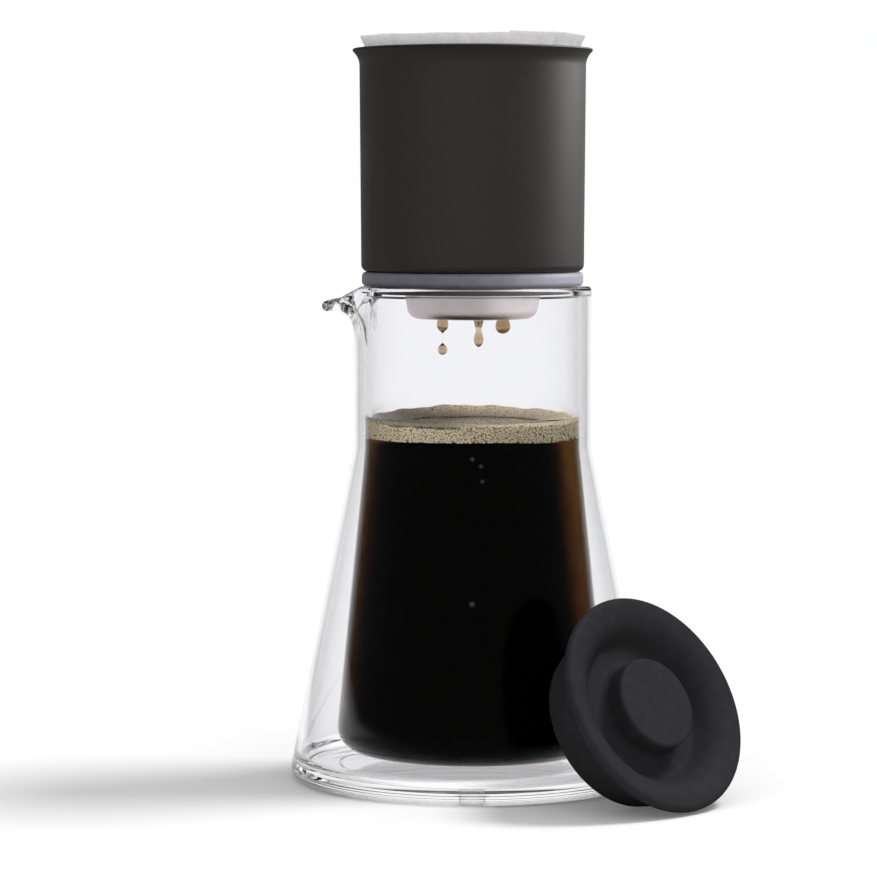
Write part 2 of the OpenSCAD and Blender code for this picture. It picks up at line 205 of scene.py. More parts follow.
# At the spout the gap ends lower and leans out, so that the pulled glass has two even walls too
square_bow = 0.25
round_bow = 1.0
spout_gap_in = 1.3
spout_gap_low = 10.4
spout_gap_half = 0.9
spout_gap_lean = -35
spout_gap_taper = 0.25
plain_gap = gap_end(
    inner_out_r + neck_gap / 2, carafe_h - rim_t - neck_gap / 2, neck_gap / 2, 0, square_bow)
spout_gap = gap_end(
    neck_r - spout_gap_in, carafe_h - spout_gap_low, spout_gap_half, spout_gap_lean, round_bow)
# Bearings round the axis from the middle of the spout, closer together in the spout
spout_cuts = 49
plain_cuts = 157
away = np.concatenate([
    np.linspace(-spout_half_angle, spout_half_angle, spout_cuts),
    np.linspace(spout_half_angle, 360 - spout_half_angle, plain_cuts)[1:-1],
])
pulled = ((1 + np.cos(np.pi * away / spout_half_angle)) / 2) ** spout_taper
share = np.where(away <= spout_half_angle, pulled, 0)[None, :, None]
rim = plain_rim[:, None] * (1 - share) + spout_rim[:, None] * share
gap_share = share**spout_gap_taper
gap = plain_gap[:, None] * (1 - gap_share) + spout_gap[:, None] * gap_share
foot = [(punt_r + 1, 0), (punt_r, punt), (vent_r, punt), (vent_r, base_t)]
up_inside = np.vstack([[(0, floor_top)], inner_face])
down_outside = np.vstack([outer_face[::-1][1:], foot, outer_back])
down_between = np.vstack([inner_back[::-1], [(0, inner_floor_z)]])
section = np.vstack([
    np.repeat(up_inside[:, None], len(away), 1), rim, np.repeat(down_outside[:, None], len(away), 1), gap,
    np.repeat(down_between[:, None], len(away), 1)])
around = np.radians(180 + away)
carafe = skin("carafe_glass", np.stack(
    [section[..., 0] * np.cos(around), section[..., 0] * np.sin(around), section[..., 1]], -1))
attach(carafe, "carafe")
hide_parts("carafe_outer_wall", "carafe_inner_wall")


def linear(code):
    """Linear colour of an sRGB hex code."""
    parts = [int(code[i:i + 2], 16) / 255 for i in (1, 3, 5)]
    return tuple(p / 12.92 if p <= 0.04045 else ((p + 0.055) / 1.055) ** 2.4 for p in parts) + (1.0,)


def node(tree, kind, inputs, **settings):
    """Adds a node with its settings. An input is a value, or a (node, output) pair to link."""
    made = tree.nodes.new(kind)
    for name, value in settings.items():
        setattr(made, name, value)
    for name, value in inputs.items():
        if isinstance(value, tuple) and isinstance(value[0], bpy.types.Node):
            tree.links.new(value[0].outputs[value[1]], made.inputs[name])
        else:
            made.inputs[name].default_value = value
    return made


def bare_material(name):
    """A material with an empty node tree."""
    material = bpy.data.materials.new(name)
    material.use_nodes = True
    material.node_tree.nodes.clear()
    return material, material.node_tree


# Borosilicate glass, blown and fire polished: clear and smooth, grey only where the eye looks along a wall.
# A shadow ray passes straight through, as light passes real glass, and light may run a long way in the rim.
glass_ior = 1.47
light_bounces = 40
borosilicate_glass, tree = bare_material("borosilicate_glass")
blown = node(tree, "ShaderNodeBsdfPrincipled", {
    "Base Color": linear("#fdfdfe"), "Roughness": 0.0, "IOR": glass_ior, "Transmission Weight": 1.0,
    "Specular Tint": (0.03, 0.03, 0.03, 1)})
passing = node(tree, "ShaderNodeBsdfTransparent", {"Color": (1, 1, 1, 1)})
ray = node(tree, "ShaderNodeLightPath", {})
either = node(tree, "ShaderNodeMixShader", {
    0: (ray, "Is Shadow Ray"), 1: (blown, "BSDF"), 2: (passing, "BSDF")})
node(tree, "ShaderNodeOutputMaterial", {"Surface": (either, "Shader")})
carafe.data.materials.append(borosilicate_glass)
bpy.context.scene.cycles.max_bounces = light_bounces
bpy.context.scene.cycles.glossy_bounces = light_bounces
bpy.context.scene.cycles.transmission_bounces = light_bounces


# Vent seal
# A plug of translucent silicone in the hole in the middle of the base, through which the air between the
# walls could spread while the glass was hot. It keeps water out.
seal_low = 1.05
seal_fit = vent_r + 0.05
seal_head = 1.2


def turned(section, sides=144):
    """Rings of points of a section of radii and heights, turned about the upright axis."""
    turn = np.radians(np.arange(sides) * 360 / sides)
    r, z = np.array(section, float).T
    level = np.repeat(z[:, None], sides, 1)
    return np.stack([np.outer(r, np.cos(turn)), np.outer(r, np.sin(turn)), level], -1)


vent_seal = skin("vent_seal_silicone", turned(np.vstack([
    [(0, seal_low), (seal_fit, seal_low), (seal_fit, base_t), (vent_r + seal_head, base_t)],
    arc((vent_r + seal_head / 2, base_t + seal_head / 2), seal_head / 2, -30, 90, 6),
    [(0, base_t + seal_head)],
]), 48))
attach(vent_seal, "carafe")
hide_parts("carafe_vent_seal")

# Silicone, moulded: pale, a little cloudy, with the soft sheen of rubber
clear_silicone, tree = bare_material("clear_silicone")
place = node(tree, "ShaderNodeTexCoord", {})
# Cloudiness in patches of 2 mm
cloud = node(tree, "ShaderNodeTexNoise", {"Vector": (place, "Object"), "Scale": 1 / 0.002, "Detail": 3.0})
milky = node(tree, "ShaderNodeValToRGB", {"Fac": (cloud, "Fac")})
milky.color_ramp.elements[0].color = linear("#f6f6f5")
milky.color_ramp.elements[1].color = linear("#fcfcfb")
rubber = node(tree, "ShaderNodeBsdfPrincipled", {
    "Base Color": (milky, "Color"), "Roughness": 0.1, "IOR": 1.41, "Transmission Weight": 1.0})
node(tree, "ShaderNodeOutputMaterial", {"Surface": (rubber, "BSDF")})


def dress(piece, material):
    """Gives a piece one material in place of what it has."""
    piece.data.materials.clear()
    piece.data.materials.append(material)


dress(vent_seal, clear_silicone)


# Coffee
# Brewed coffee that has dripped into the inner wall and fills it to about four fifths. It wets the glass, so
# light passes from one to the other without air between, and only its level top has a surface of its own.
coffee_z = 122.0
coffee_ior = 1.34
wet = 0.06

coffee_side = inner_face[inner_face[:, 1] < coffee_z - 1] + (wet, 0)
coffee_side[:, 1] -= wet * (coffee_side[:, 1] < floor_top + inner_corner)
coffee_top = np.linspace((neck_in_r + wet, coffee_z), (0, coffee_z), 9)
coffee = skin("coffee", turned(np.vstack([[(0, floor_top - wet)], coffee_side, coffee_top])))
coffee_level = skin("coffee_level", turned(np.vstack([coffee_top[::-1] + (0, wet), coffee_top - (0, wet)])))

# Filter coffee: clear, deep amber where it is thin and black where it is thick. Its side bends no light,
# because the wet glass does that.
filter_coffee, tree = bare_material("filter_coffee")
liquid = node(tree, "ShaderNodeBsdfPrincipled", {
    "Base Color": (1, 1, 1, 1), "Roughness": 0.0, "IOR": 1.001, "Transmission Weight": 1.0})
brown = node(tree, "ShaderNodeVolumeAbsorption", {"Color": linear("#cfb83c"), "Density": 125.0})
node(tree, "ShaderNodeOutputMaterial", {"Surface": (liquid, "BSDF"), "Volume": (brown, "Volume")})

# The level top of the coffee: a still, smooth surface, drawn as a thin plate
still_coffee, tree = bare_material("still_coffee")
level_top = node(tree, "ShaderNodeBsdfPrincipled", {
    "Base Color": (1, 1, 1, 1), "Roughness": 0.0, "IOR": 1.15, "Transmission Weight": 1.0,
    "Specular Tint": (0.1, 0.1, 0.1, 1)})
node(tree, "ShaderNodeOutputMaterial", {"Surface": (level_top, "BSDF")})

# Borosilicate glass where coffee wets it: the step from one to the other is small
wet_glass, tree = bare_material("wet_glass")
wetted = node(tree, "ShaderNodeBsdfPrincipled", {
    "Base Color": (1, 1, 1, 1), "Roughness": 0.0, "IOR": glass_ior / coffee_ior,
    "Transmission Weight": 1.0})
passing = node(tree, "ShaderNodeBsdfTransparent", {"Color": (1, 1, 1, 1)})
ray = node(tree, "ShaderNodeLightPath", {})
either = node(tree, "ShaderNodeMixShader", {
    0: (ray, "Is Shadow Ray"), 1: (wetted, "BSDF"), 2: (passing, "BSDF")})
node(tree, "ShaderNodeOutputMaterial", {"Surface": (either, "Shader")})
carafe.data.materials.append(wet_glass)
for face in carafe.data.polygons:
    out = Vector(face.center.xy).length * 1000
    up = face.center.z * 1000
    if floor_top - 0.5 < up < coffee_z and out < np.interp(up, inner_face[:, 1], inner_face[:, 0]) + 0.5:
        face.material_index = 1

for piece, material in ((coffee, filter_coffee), (coffee_level, still_coffee)):
    dress(piece, material)
    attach(piece, "carafe")

# Fine grounds scatter light back out near the glass, so the liquid glows amber there and is black further in.
# Four cores inside it, each darker than the last, stand in for that. More light comes from the right, so they
# stand a little to the left.
core_shift = 1.5
core_low = floor_top + 1
core_top = coffee_z - 4
for share, density in ((0.74, 40.0), (0.70, 60.0), (0.66, 120.0), (0.62, 400.0)):
    core_side = inner_face[inner_face[:, 1] < core_top] * (share, 1)
    core_side[:, 1] = np.maximum(core_side[:, 1], core_low)
    core_rings = turned(np.vstack([[(0, core_low)], core_side, [(0, core_top)]]))
    core = skin("coffee_core", core_rings - (core_shift, 0, 0))
    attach(core, "carafe")
    # Coffee without a surface of its own, only its colour
    deep_coffee, tree = bare_material("deep_coffee")
    deeper = node(tree, "ShaderNodeVolumeAbsorption", {"Color": linear("#8a5a20"), "Density": density})
    node(tree, "ShaderNodeOutputMaterial", {"Volume": (deeper, "Volume")})
    dress(core, deep_coffee)


# Foam
# Bubbles of fresh coffee that gather along the glass: a ring, thick at the wall and thin toward the open
# middle, made of cells about a millimetre wide.
foam_sides = 840
foam_open_r = 21.5
foam_out_r = neck_in_r + 0.1
foam_rise = 2.1
foam_skirt = 5.0
foam_shoulder = 1.1
foam_thin = 0.1
turn = np.linspace(0, 2 * np.pi, foam_sides, endpoint=False)
edge_wave = 0.55 * np.sin(3 * turn + 0.7) + 0.35 * np.sin(5 * turn + 2.1) + 0.25 * np.sin(9 * turn + 0.4)
# The foam stands a little higher at the back, where the last pour pushed it
crown = 1.7 * np.sin(turn) + 0.3 * np.sin(4 * turn + 1)
crown += 0.25 * np.sin(11 * turn) + 0.15 * np.sin(23 * turn + 2)
foam_top = coffee_z + foam_rise + crown
foam_edge = foam_top - foam_shoulder
foam_low = coffee_z - foam_skirt + 0.35 * edge_wave
foam_in = foam_open_r + 2.2 * edge_wave
foam_path = []
# Over the top from the inner edge to the glass, with a rounded shoulder there
for s in np.linspace(0, 1, 58):
    r = foam_in + (foam_out_r - foam_in) * s
    swelling = foam_thin + (foam_top - coffee_z - foam_thin) * s**1.3
    round_off = foam_shoulder * max(0, (s - 0.75) / 0.25) ** 2
    foam_path.append((r, coffee_z + swelling - round_off))
# Down the glass
for s in np.linspace(0, 1, 25)[1:]:
    foam_path.append((foam_out_r + 0 * turn, foam_edge + (foam_low - foam_edge) * s))
# Back under the surface
for s in np.linspace(0, 1, 15)[1:]:
    r = foam_out_r + (foam_in - foam_out_r) * s
    foam_path.append((r, foam_low + (coffee_z - foam_thin - foam_low) * s**0.8))
foam_rings = np.array([np.stack([r * np.cos(turn), r * np.sin(turn), z], -1) for r, z in foam_path])
foam_rings = np.concatenate([foam_rings, foam_rings[:1]])
foam = skin("coffee_foam", foam_rings)


def blow_bubbles(mesh, cells, rise, seed):
    """Swells a mesh into cells round scattered points, and stores each point's height in its cell."""
    points = np.empty(len(mesh.vertices) * 3)
    mesh.vertices.foreach_get("co", points)
    points = points.reshape(-1, 3)
    normals = np.array([v.normal for v in mesh.vertices])
    picked = np.random.default_rng(seed).choice(len(points), cells, replace=False)
    tree = KDTree(cells)
    for i in picked:
        tree.insert(points[i], i)
    tree.balance()
    swell = np.empty(len(points))
    for i, p in enumerate(points):
        (_, _, first), (_, _, second) = tree.find_n(p, 2)
        swell[i] = 1 - (2 * first / (first + second + 1e-9)) ** 2
    swell = np.sqrt(np.clip(swell, 0, 1))
    mesh.vertices.foreach_set("co", (points + normals * (swell * rise / 1000)[:, None]).ravel())
    stored = mesh.attributes.new("swell", "FLOAT", "POINT")
    stored.data.foreach_set("value", swell)
    mesh.update()


foam_cells = 9000
cell_rise = 0.4
blow_bubbles(foam.data, foam_cells, cell_rise, 5)
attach(foam, "carafe")

# Coffee foam: wet beige films, brown where the cells meet, partly the coffee held there and partly painted
# shade in the seams; the top of each cell is lighter with a painted highlight
coffee_foam, tree = bare_material("coffee_foam")
cell = node(tree, "ShaderNodeAttribute", {}, attribute_name="swell")
seam_shade_and_cell_highlight = node(tree, "ShaderNodeValToRGB", {"Fac": (cell, "Fac")})
seam_shade_and_cell_highlight.color_ramp.elements[0].color = linear("#35210c")
seam_shade_and_cell_highlight.color_ramp.elements[0].position = 0.1
seam_shade_and_cell_highlight.color_ramp.elements[1].color = linear("#fdebc8")
seam_shade_and_cell_highlight.color_ramp.elements[1].position = 0.75
# Toward the open middle the films are thin and the dark coffee shows through them. The same darkening is
# also painted shade on the top of the ring, which the key from above lights more than the front
place = node(tree, "ShaderNodeTexCoord", {})
flat = node(tree, "ShaderNodeVectorMath", {0: (place, "Object"), 1: (1, 1, 0)}, operation="MULTIPLY")
out = node(tree, "ShaderNodeVectorMath", {0: (flat, "Vector")}, operation="LENGTH")
thick = node(tree, "ShaderNodeMapRange", {
    "Value": (out, "Value"), "From Min": 0.02, "From Max": 0.0345, "To Min": 0.25, "To Max": 1.0})
thin_films_and_painted_top_shade = node(tree, "ShaderNodeMix", {
    0: (thick, "Result"), 6: linear("#3c2614"), 7: (seam_shade_and_cell_highlight, "Color")}, data_type="RGBA")
films = node(tree, "ShaderNodeBsdfPrincipled", {
    "Base Color": (thin_films_and_painted_top_shade, 2), "Roughness": 0.15, "IOR": coffee_ior, "Subsurface Weight": 0.2,
    "Subsurface Radius": (1.0, 0.9, 0.6), "Subsurface Scale": 0.001})
node(tree, "ShaderNodeOutputMaterial", {"Surface": (films, "BSDF")})
dress(foam, coffee_foam)

# Four bubbles cling to the front of the glass below the foam: height, bearing and radius of each
clinging = ((111.4, -90.75, 0.75), (109.0, -86.0, 0.65), (104.0, -85.5, 0.65), (63.8, -90.75, 0.9))

# Bubble film: a brown skin of coffee on the glass, half lit
bubble_film, tree = bare_material("bubble_film")
film = node(tree, "ShaderNodeBsdfPrincipled", {
    "Base Color": linear("#665548"), "Roughness": 0.25, "IOR": coffee_ior})
node(tree, "ShaderNodeOutputMaterial", {"Surface": (film, "BSDF")})
for i, (up, bearing, size) in enumerate(clinging):
    out = np.interp(up, inner_face[:, 1], inner_face[:, 0]) - size / 2
    at = (out * math.cos(math.radians(bearing)), out * math.sin(math.radians(bearing)), up)
    bubble = skin(f"bubble_{i + 1}", turned(arc((0, 0), size, -90, 90, 12), 24) + at)
    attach(bubble, "carafe")
    dress(bubble, bubble_film)


# Inner shell of the dripper
# A steel sheet deep drawn into a steep taper, closed below as the drip cup with its drilled drain holes, and
# turned out at the top to the lip that is welded to the outer shell.
cup_z = 156.9
cup_r = 21.6
cup_corner = 4.0
sheet_t = 0.8
jacket_gap = 1.2
dripper_z = 172.75
dripper_top = 247.95
dripper_r = 38.3
rim_overhang = 2.3
flare_h = 5.0
lip_bend = 3.0
rim_r = dripper_r + rim_overhang
flare_z = dripper_top - sheet_t - flare_h
# The shells stand the jacket's gap apart where the outer one begins to flare
taper = (dripper_r - sheet_t - jacket_gap - cup_r) / (flare_z - cup_z)
taper_lean = math.hypot(1, taper)
taper_angle = math.degrees(math.atan(taper))


def shell_in(z):
    """Radius of the inner shell's inside at a height."""
    return cup_r - sheet_t + taper * (z - cup_z)


corner_at = (shell_in(cup_z + cup_corner) + (sheet_t - cup_corner) * taper_lean, cup_z + cup_corner)
bend_z = dripper_top - sheet_t - lip_bend
bend_at = (shell_in(bend_z) + (sheet_t + lip_bend) * taper_lean, bend_z)
inner_shell = skin("dripper_inner_steel", turned(finer(np.vstack([
    [(0, cup_z)],
    arc(corner_at, cup_corner, -90, -taper_angle, 14),
    arc(bend_at, lip_bend, 180 - taper_angle, 90, 12),
    arc((rim_r - sheet_t / 2, dripper_top - sheet_t / 2), sheet_t / 2, -90, 90, 10),
    arc(bend_at, lip_bend + sheet_t, 90, 180 - taper_angle, 12),
    arc(corner_at, cup_corner - sheet_t, -taper_angle, -90, 14),
    [(0, cup_z + sheet_t)],
]), 8)))

# Drain holes of 3 mm: one in the middle, five round it and ten outside them
drain_r = 1.5
drill_h = 4.0
drain_places = [(0.0, 0.0)]
for ring_r, count in ((6.5, 5), (12.5, 10)):
    for i in range(count):
        bearing = math.tau * i / count
        drain_places.append((ring_r * math.cos(bearing), ring_r * math.sin(bearing)))
drill = bmesh.new()
for x, y in drain_places:
    bmesh.ops.create_cone(
        drill, cap_ends=True, segments=32, radius1=drain_r / 1000, radius2=drain_r / 1000,
        depth=drill_h / 1000, matrix=Matrix.Translation(Vector((x, y, cup_z + sheet_t / 2)) / 1000))
drill_mesh = bpy.data.meshes.new("drill")
drill.to_mesh(drill_mesh)
drill.free()
drills = bpy.data.objects.new("drill", drill_mesh)
bpy.context.scene.collection.objects.link(drills)
drilled = inner_shell.modifiers.new("drain_holes", "BOOLEAN")
drilled.operation = "DIFFERENCE"
drilled.solver = "EXACT"
drilled.object = drills
bpy.context.view_layer.update()
drilled_shell = inner_shell.evaluated_get(bpy.context.evaluated_depsgraph_get())
inner_shell.data = bpy.data.meshes.new_from_object(drilled_shell)
inner_shell.modifiers.clear()
bpy.data.objects.remove(drills)
soften(inner_shell.data)
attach(inner_shell, "dripper")
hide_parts("dripper_inner_shell")

# Stainless steel, bead blasted: pale, slightly warm, with a soft broken sheen
blasted_steel, tree = bare_material("bead_blasted_steel")
place = node(tree, "ShaderNodeTexCoord", {})
# Dimples of the blasting media, 0.25 mm across
dimples = node(tree, "ShaderNodeTexNoise", {"Vector": (place, "Object"), "Scale": 1 / 0.00025, "Detail": 2.0})
dented = node(tree, "ShaderNodeBump", {"Height": (dimples, "Fac"), "Strength": 0.15, "Distance": 0.00004})
# Stains of hot coffee and water, in patches of 9 mm
stains = node(tree, "ShaderNodeTexNoise", {"Vector": (place, "Object"), "Scale": 1 / 0.009, "Detail": 4.0})
dulled = node(tree, "ShaderNodeMapRange", {"Value": (stains, "Fac"), "To Min": 0.34, "To Max": 0.46})
patina = node(tree, "ShaderNodeValToRGB", {"Fac": (stains, "Fac")})
patina.color_ramp.elements[0].color = linear("#d3cac9")
patina.color_ramp.elements[0].position = 0.3
patina.color_ramp.elements[1].color = linear("#e5dedd")
patina.color_ramp.elements[1].position = 0.7
steel = node(tree, "ShaderNodeBsdfPrincipled", {
    "Base Color": (patina, "Color"), "Metallic": 1.0, "Roughness": (dulled, "Result"),
    "Normal": (dented, "Normal")})
node(tree, "ShaderNodeOutputMaterial", {"Surface": (steel, "BSDF")})
dress(inner_shell, blasted_steel)


# Bottom of the vacuum jacket
# A ring of the same steel closes the jacket underneath, welded on both edges. A getter pellet lies on it
# inside, and a bead of solder closes the port that the air was pumped out of. The gasket hides all three.
dress(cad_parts["dripper_bottom_plate"], blasted_steel)

# Getter: sintered metal powder, dark and grainy
sintered_getter, tree = bare_material("sintered_getter")
place = node(tree, "ShaderNodeTexCoord", {})
# Powder grains of 0.2 mm
grains = node(tree, "ShaderNodeTexVoronoi", {"Vector": (place, "Object"), "Scale": 1 / 0.0002})
pressed = node(tree, "ShaderNodeBump", {"Height": (grains, "Distance"), "Strength": 0.5, "Distance": 0.00008})
powder = node(tree, "ShaderNodeBsdfPrincipled", {
    "Base Color": linear("#6b6b6e"), "Metallic": 1.0, "Roughness": 0.6, "Normal": (pressed, "Normal")})
node(tree, "ShaderNodeOutputMaterial", {"Surface": (powder, "BSDF")})
dress(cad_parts["vacuum_getter"], sintered_getter)

# Solder: reflowed, warm and bright, with shallow ripples
reflowed_solder, tree = bare_material("reflowed_solder")
place = node(tree, "ShaderNodeTexCoord", {})
# Ripples of the frozen bead, 0.6 mm apart
ripples = node(tree, "ShaderNodeTexNoise", {"Vector": (place, "Object"), "Scale": 1 / 0.0006, "Detail": 1.0})
frozen = node(tree, "ShaderNodeBump", {"Height": (ripples, "Fac"), "Strength": 0.3, "Distance": 0.0001})
bead = node(tree, "ShaderNodeBsdfPrincipled", {
    "Base Color": linear("#c9b28a"), "Metallic": 1.0, "Roughness": 0.28, "Normal": (frozen, "Normal")})
node(tree, "ShaderNodeOutputMaterial", {"Surface": (bead, "BSDF")})
dress(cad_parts["vacuum_seal_bead"], reflowed_solder)


# Outer shell of the dripper
# A steel tube with its bottom edge rolled in and its top flared in a hollow curve to meet the lip, powder
# coated over the whole outside, lip included.
dripper_draft = 0.5
jacket_corner = 2.5
plate_r = 33.3
flare_angle = math.degrees(2 * math.atan(rim_overhang / flare_h))
flare_r = flare_h / math.sin(math.radians(flare_angle))
flare_at = (dripper_r + flare_r, flare_z)
inside_angle = math.degrees(math.asin(flare_h / (flare_r + sheet_t)))
rolled_at = (dripper_r - dripper_draft - jacket_corner, dripper_z + jacket_corner)
outer_shell = skin("dripper_coated_shell", turned(finer(np.vstack([
    [(plate_r, dripper_z)],
    arc(rolled_at, jacket_corner, -90, 0, 12),
    arc(flare_at, flare_r, 180, 180 - flare_angle, 14),
    arc(flare_at, flare_r + sheet_t, 180 - inside_angle, 180, 14),
    arc(rolled_at, jacket_corner - sheet_t, 0, -90, 12),
    [(plate_r, dripper_z + sheet_t), (plate_r, dripper_z)],
]), 6)))
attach(outer_shell, "dripper")
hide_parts("dripper_outer_shell")

# Powder coat, baked on steel: matte, near black with a warm cast, with a fine even grain
powder_coat, tree = bare_material("matte_powder_coat")
place = node(tree, "ShaderNodeTexCoord", {})
# Orange peel of a matte powder is about 0.15 mm; drawn 0.7 mm wide so that it shows
peel = node(tree, "ShaderNodeTexNoise", {"Vector": (place, "Object"), "Scale": 1 / 0.0007, "Detail": 3.0})
grainy = node(tree, "ShaderNodeBump", {"Height": (peel, "Fac"), "Strength": 0.25, "Distance": 0.00005})
# Handling leaves faint dull patches about 30 mm wide
patches = node(tree, "ShaderNodeTexNoise", {"Vector": (place, "Object"), "Scale": 1 / 0.03, "Detail": 3.0})
duller = node(tree, "ShaderNodeMapRange", {"Value": (patches, "Fac"), "To Min": 0.44, "To Max": 0.58})
cast = node(tree, "ShaderNodeValToRGB", {"Fac": (peel, "Fac")})
cast.color_ramp.elements[0].color = linear("#221a1a")
cast.color_ramp.elements[0].position = 0.3
cast.color_ramp.elements[1].color = linear("#2a2121")
cast.color_ramp.elements[1].position = 0.7
coat = node(tree, "ShaderNodeBsdfPrincipled", {
    "Base Color": (cast, "Color"), "Roughness": (duller, "Result"), "IOR": 1.5,
    "Normal": (grainy, "Normal")})
node(tree, "ShaderNodeOutputMaterial", {"Surface": (coat, "BSDF")})
dress(outer_shell, powder_coat)

# The coat runs over the lip of the inner shell and ends inside it
inner_shell.data.materials.append(powder_coat)
for face in inner_shell.data.polygons:
    out = Vector(face.center.xy).length * 1000
    if face.center.z * 1000 > dripper_top - sheet_t - 0.1 and out > bend_at[0] - 1:
        face.material_index = 1


# Gasket
# One ring of moulded silicone, set round the drip cup under the jacket. It carries the dripper on the
# carafe's rim, and its rib centres it in the neck.
gasket_r = 37.6
gasket_round = 1.6
gasket_rib = 2.4
gasket_rib_t = 3.0
neck_fit_r = 34.0
seat_z = carafe_h + 0.15
rib_z = carafe_h - gasket_rib
rib_round = gasket_rib_t / 4
cup_play = 0.05
cup_side = sheet_t * taper_lean + cup_play
gasket = skin("gasket_silicone", turned(finer(np.vstack([
    [(shell_in(seat_z) + cup_side, seat_z), (neck_fit_r - gasket_rib_t, seat_z)],
    arc((neck_fit_r - gasket_rib_t + rib_round, rib_z + rib_round), rib_round, 180, 270, 8),
    arc((neck_fit_r - rib_round, rib_z + rib_round), rib_round, 270, 360, 8),
    [(neck_fit_r, seat_z)],
    arc((gasket_r - gasket_round, seat_z + gasket_round), gasket_round, -90, 0, 10),
    arc((gasket_r - gasket_round, dripper_z - gasket_round), gasket_round, 0, 90, 10),
    [(shell_in(dripper_z) + cup_side, dripper_z), (shell_in(seat_z) + cup_side, seat_z)],
]), 4)))
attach(gasket, "dripper")
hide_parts("gasket_ring")

# Silicone, filled grey and moulded in a satin tool: even, with a soft velvety sheen at its edges
grey_silicone, tree = bare_material("grey_silicone")
place = node(tree, "ShaderNodeTexCoord", {})
# Texture of the tool, 0.4 mm wide
satin = node(tree, "ShaderNodeTexNoise", {"Vector": (place, "Object"), "Scale": 1 / 0.0004, "Detail": 2.0})
moulded = node(tree, "ShaderNodeBump", {"Height": (satin, "Fac"), "Strength": 0.15, "Distance": 0.00004})
# Lint and dust cling to it in spots about 3 mm wide
dust = node(tree, "ShaderNodeTexNoise", {"Vector": (place, "Object"), "Scale": 1 / 0.003, "Detail": 4.0})
dusty = node(tree, "ShaderNodeValToRGB", {"Fac": (dust, "Fac")})
dusty.color_ramp.elements[0].color = linear("#605e68")
dusty.color_ramp.elements[0].position = 0.35
dusty.color_ramp.elements[1].color = linear("#6a6873")
dusty.color_ramp.elements[1].position = 0.75
rubber = node(tree, "ShaderNodeBsdfPrincipled", {
    "Base Color": (dusty, "Color"), "Roughness": 0.55, "IOR": 1.41, "Sheen Weight": 0.15,
    "Sheen Roughness": 0.5, "Normal": (moulded, "Normal")})
node(tree, "ShaderNodeOutputMaterial", {"Surface": (rubber, "BSDF")})
dress(gasket, grey_silicone)


# Drips
# Coffee that hangs from three drain holes of the cup: a short drop that draws a thread to the bead below it,
# one about to let go, and a full round one.
# Each has its drain hole, and its outline from just inside the hole to its lowest point
drip_shapes = {
    "drip_left": (drain_places[12], [
        (1.45, 0.3), (1.6, -0.1), (1.9, -1.1), (2.05, -2.2), (1.7, -3.3), (0.9, -4.0),
        (0.12, -4.5), (0.05, -6.4), (0.12, -8.3), (0.9, -8.7), (1.55, -9.5), (1.7, -10.4),
        (1.45, -11.3), (0.8, -11.9), (0.0, -12.1)]),
    "drip_middle": (drain_places[5], [
        (1.45, 0.3), (1.75, -0.1), (1.6, -1.2), (1.2, -2.4), (1.0, -3.6), (1.1, -4.6),
        (1.5, -5.8), (1.75, -6.9), (1.6, -7.9), (1.1, -8.8), (0.5, -9.3), (0.0, -9.5)]),
    "drip_right": (drain_places[15], [
        (1.45, 0.3), (1.9, -0.2), (2.4, -1.3), (2.6, -2.5), (2.35, -3.6), (1.7, -4.4),
        (0.8, -4.8), (0.0, -4.95)]),
}

# Coffee in drops: the same amber liquid, stronger than in the carafe
strong_coffee, tree = bare_material("strong_coffee")
drop = node(tree, "ShaderNodeBsdfPrincipled", {
    "Base Color": (1, 1, 1, 1), "Roughness": 0.0, "IOR": coffee_ior, "Transmission Weight": 1.0})
amber = node(tree, "ShaderNodeVolumeAbsorption", {"Color": linear("#ccaf6d"), "Density": 550.0})
node(tree, "ShaderNodeOutputMaterial", {"Surface": (drop, "BSDF"), "Volume": (amber, "Volume")})

for name, ((x, y), shape) in drip_shapes.items():
    closed = np.vstack([[(0.0, shape[0][1])], shape])
    drip = skin(name, turned(closed, 32) + (x, y, cup_z))
    rounded = drip.modifiers.new("rounded", "SUBSURF")
    rounded.levels = 2
    rounded.render_levels = 2
    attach(drip, "dripper")
    dress(drip, strong_coffee)


# Paper filter
# A round of bleached filter paper, pressed into a basket with a flat floor and 28 pleats. It lies in the
# inner shell and its free edge stands a few millimetres over the dripper's rim.
pleats = 28
pleat_depth = 2.0
paper_t = 0.4
filter_z = 158.0
filter_top = 252.45
paper_play = 0.3
edge_flare = 1.2
loose = paper_play * taper_lean
filter_corner = cup_corner - sheet_t
filter_edge = filter_corner * 0.3
dice = np.random.default_rng(28)
paper_sides = pleats * 18
turn = np.linspace(0, 2 * np.pi, paper_sides, endpoint=False)

# Height, radius of the crests and share of the pleat depth, from the floor's edge to the top edge
filter_rows = np.array([
    (filter_z, shell_in(filter_z) - paper_play - filter_corner, 0),
    (filter_z + filter_edge, shell_in(filter_z) - paper_play - filter_edge, 0.1),
    (filter_z + filter_corner, shell_in(filter_z + filter_corner) - loose, 0.25),
    ((filter_z + dripper_top) / 2, shell_in((filter_z + dripper_top) / 2) - loose, 0.6),
    (dripper_top, shell_in(dripper_top) - loose, 0.9),
    (filter_top, shell_in(filter_top) - loose + edge_flare, 0.6),
])
# Each pleat has its own width and depth
widths = 1 + 0.22 * dice.uniform(-1, 1, pleats)
starts = np.concatenate([[0], np.cumsum(widths)]) / widths.sum() * 2 * np.pi
which = np.searchsorted(starts, turn, side="right") - 1
phase = (turn - starts[which]) / (starts[which + 1] - starts[which])
depth = (0.75 - 0.5 * dice.uniform(0, 1, pleats))[which]
rise = np.clip((phase - 0.4) / 0.26, 0, 1) - np.clip((phase - 0.74) / 0.26, 0, 1)
fold = depth * rise * rise * (3 - 2 * rise)
